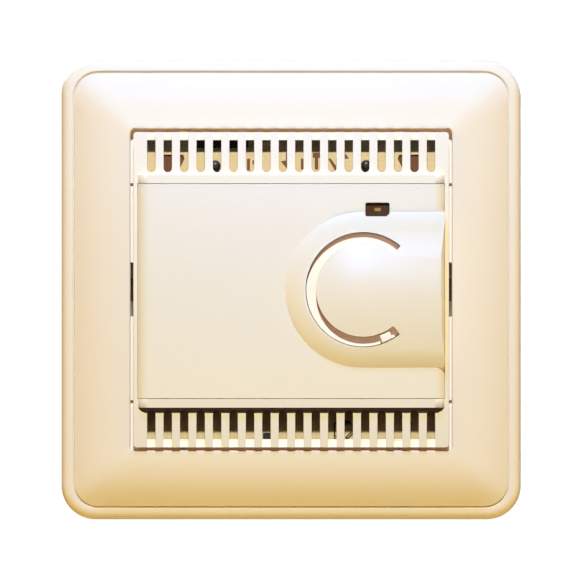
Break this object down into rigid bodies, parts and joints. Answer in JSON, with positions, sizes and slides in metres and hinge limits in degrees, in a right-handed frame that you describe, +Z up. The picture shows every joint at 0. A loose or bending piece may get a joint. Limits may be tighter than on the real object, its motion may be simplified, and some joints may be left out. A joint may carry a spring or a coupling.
{
  "type": "wall thermostat",
  "caption": "Square flush wall thermostat: pillow-faced cover frame, vented centre cover, domed panel with a C-shaped dial slot, and a mechanism body for a round wall box.",
  "frame": {"origin": "middle of the thermostat on the wall plane, halfway between the two box screws", "axes": "+Z up, +X to the right seen from the front, front faces -Y, +Y goes into the wall"},
  "size_m": [0.085, 0.0417, 0.085],
  "materials": {
    "ivory_frame": "glossy moulded ivory",
    "ivory_cover": "glossy moulded ivory",
    "ivory_panel": "glossy moulded ivory",
    "pale_dial": "satin moulded cream",
    "smoked_lens": "smoked, polished",
    "lamp": "clear amber",
    "carrier_plastic": "fine matt",
    "zinc_steel": "zinc plated",
    "housing_plastic": "fine matt light grey",
    "screw_steel": "zinc plated",
    "cream_board": "cream solder mask",
    "green_board": "green solder mask",
    "black_plastic": "black moulded",
    "tin": "tinned",
    "brass_clamp": "nickel-free brass",
    "sensor_bead": "epoxy coated",
    "pot_case": "moulded",
    "pot_shaft": "moulded",
    "carbon_track": "carbon film",
    "relay_plastic": "blue moulded",
    "relay_base_plastic": "black moulded",
    "copper_wire": "enamelled copper winding",
    "bobbin_plastic": "moulded",
    "iron": "nickel plated iron",
    "contact_bronze": "spring bronze",
    "film_capacitor": "yellow moulded",
    "capacitor_sleeve": "dark sleeve",
    "varistor_coat": "blue dipped",
    "diode_body": "black moulded",
    "resistor_body": "dipped",
    "terminal_plastic": "green moulded"
  },
  "bodies": {
    "thermostat": {"cover_frame": "ivory_frame", "centre_cover": "ivory_cover", "control_panel": "ivory_panel", "indicator_lens": "smoked_lens", "indicator_led": "lamp", "carrier_bezel": "carrier_plastic", "support_plate": "zinc_steel", "rear_housing": "housing_plastic", "housing_screws": "screw_steel", "board_screws": "screw_steel", "control_board": "cream_board", "small_board_parts": "black_plastic", "control_chip": "black_plastic", "room_sensor": "sensor_bead", "potentiometer_body": "pot_case", "potentiometer_track": "carbon_track", "header_pins": "tin", "header_body": "black_plastic", "power_board": "green_board", "relay_base": "relay_base_plastic", "relay_case": "relay_plastic", "relay_core": "iron", "relay_bobbin": "bobbin_plastic", "relay_coil": "copper_wire", "relay_fixed_contact": "contact_bronze", "dropper_capacitor": "film_capacitor", "filter_capacitor": "capacitor_sleeve", "varistor": "varistor_coat", "rectifier_diodes": "diode_body", "series_resistor": "resistor_body", "terminal_block": "terminal_plastic", "terminal_clamps": "brass_clamp", "terminal_screws": "screw_steel"},
    "dial": {"setting_dial": "pale_dial", "potentiometer_rotor": "pot_shaft"},
    "armature": {"relay_armature": "iron", "relay_moving_contact": "contact_bronze"}
  },
  "joints": [
    {"name": "dial_turn", "type": "hinge", "parent": "thermostat", "child": "dial", "pos_m": [0.0132, -0.0117, 0], "axis": [0, 1, 0], "range_deg": [-6.5, 239]},
    {"name": "relay_armature_hinge", "type": "hinge", "parent": "thermostat", "child": "armature", "pos_m": [0.0122, 0.0208, -0.00065], "axis": [0, 0, 1], "range_deg": [0, 3], "stiffness_Nm_per_rad": 0.02, "springref_deg": -1.72}
  ]
}
